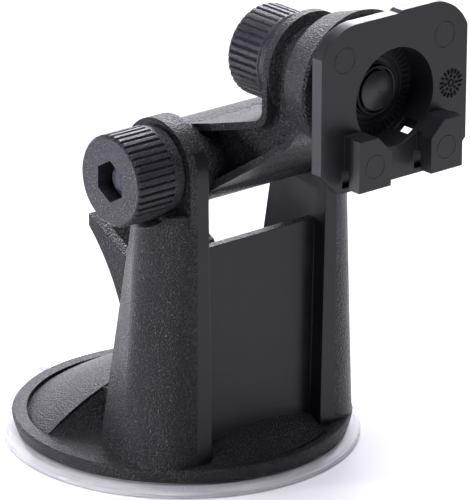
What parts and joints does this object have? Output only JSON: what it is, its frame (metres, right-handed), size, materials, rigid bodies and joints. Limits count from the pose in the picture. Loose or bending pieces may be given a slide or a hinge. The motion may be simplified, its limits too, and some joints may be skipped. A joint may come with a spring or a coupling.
{
  "type": "suction cup dash mount",
  "caption": "Windscreen and dashboard suction mount with a locking lever, a pivoting arm and a swivelling slotted device plate, both clamped by ribbed knobs.",
  "frame": {"origin": "centre of the suction cup, in the plane of its sealing face", "axes": "+Z away from the surface the cup sticks to, -Y towards the device plate, +X along the lower pivot"},
  "size_m": [0.08, 0.1288, 0.1152],
  "materials": {
    "clear_vinyl": "clear soft vinyl, glossy",
    "insert_plastic": "moulded, plain",
    "black_plastic": "black, fine spark-eroded grain",
    "satin_plastic": "black, smooth satin",
    "black_rubber": "matte",
    "black_bolt": "black oxide, satin",
    "zinc_steel": "zinc plated"
  },
  "bodies": {
    "base": {"base_housing": "black_plastic", "suction_cup": "clear_vinyl", "cam_plate": "zinc_steel", "lower_bolt": "zinc_steel"},
    "stud": {"pull_stud": "zinc_steel", "cup_insert": "insert_plastic", "lever_pin": "zinc_steel", "lever_pin_clip": "zinc_steel"},
    "lever": {"lock_lever": "black_plastic"},
    "arm": {"arm": "black_plastic", "pivot_sleeve": "zinc_steel", "friction_washer_right": "black_rubber", "friction_washer_left": "black_rubber"},
    "lower_stack": {"lower_washer": "zinc_steel"},
    "lower_knob": {"lower_knob": "black_plastic", "lower_nut": "zinc_steel"},
    "head": {"head_plate": "satin_plastic", "carriage_bolt": "black_bolt", "head_friction_disc": "black_rubber", "flange_washer": "zinc_steel"},
    "upper_stack": {"spring_washer": "zinc_steel"},
    "upper_knob": {"upper_knob": "black_plastic", "upper_nut": "zinc_steel"}
  },
  "joints": [
    {"name": "stud_lift", "type": "slide", "parent": "base", "child": "stud", "axis": [0, 0, -1], "range_m": [0, 0.00246], "deforming": ["suction_cup"]},
    {"name": "lever_hinge", "type": "hinge", "parent": "stud", "child": "lever", "pos_m": [0, 0, 0.02249], "axis": [-1, 0, 0], "range_deg": [0, 65]},
    {"name": "arm_pitch", "type": "hinge", "parent": "base", "child": "arm", "pos_m": [0, -0.0181, 0.0716], "axis": [1, 0, 0], "range_deg": [-140, 65]},
    {"name": "lower_knob_travel", "type": "slide", "parent": "base", "child": "lower_stack", "axis": [-1, 0, 0], "range_m": [0, 0.0016]},
    {"name": "lower_knob_turn", "type": "hinge", "parent": "lower_stack", "child": "lower_knob", "pos_m": [-0.028, -0.0181, 0.0716], "axis": [-1, 0, 0], "range_deg": [0, 720]},
    {"name": "head_swivel", "type": "hinge", "parent": "arm", "child": "head", "pos_m": [0, -0.06, 0.0967], "axis": [0, 1, 0], "continuous": true},
    {"name": "upper_knob_travel", "type": "slide", "parent": "head", "child": "upper_stack", "axis": [0, 1, 0], "range_m": [0, 0.0016]},
    {"name": "upper_knob_turn", "type": "hinge", "parent": "upper_stack", "child": "upper_knob", "pos_m": [0, -0.034, 0.0967], "axis": [0, 1, 0], "range_deg": [0, 720]}
  ],
  "couplings": [
    {"joint": "lever_hinge", "follows": "stud_lift", "rad_per_m": 461.22},
    {"joint": "lower_knob_turn", "follows": "lower_knob_travel", "rad_per_m": 7854},
    {"joint": "upper_knob_turn", "follows": "upper_knob_travel", "rad_per_m": 7854}
  ]
}
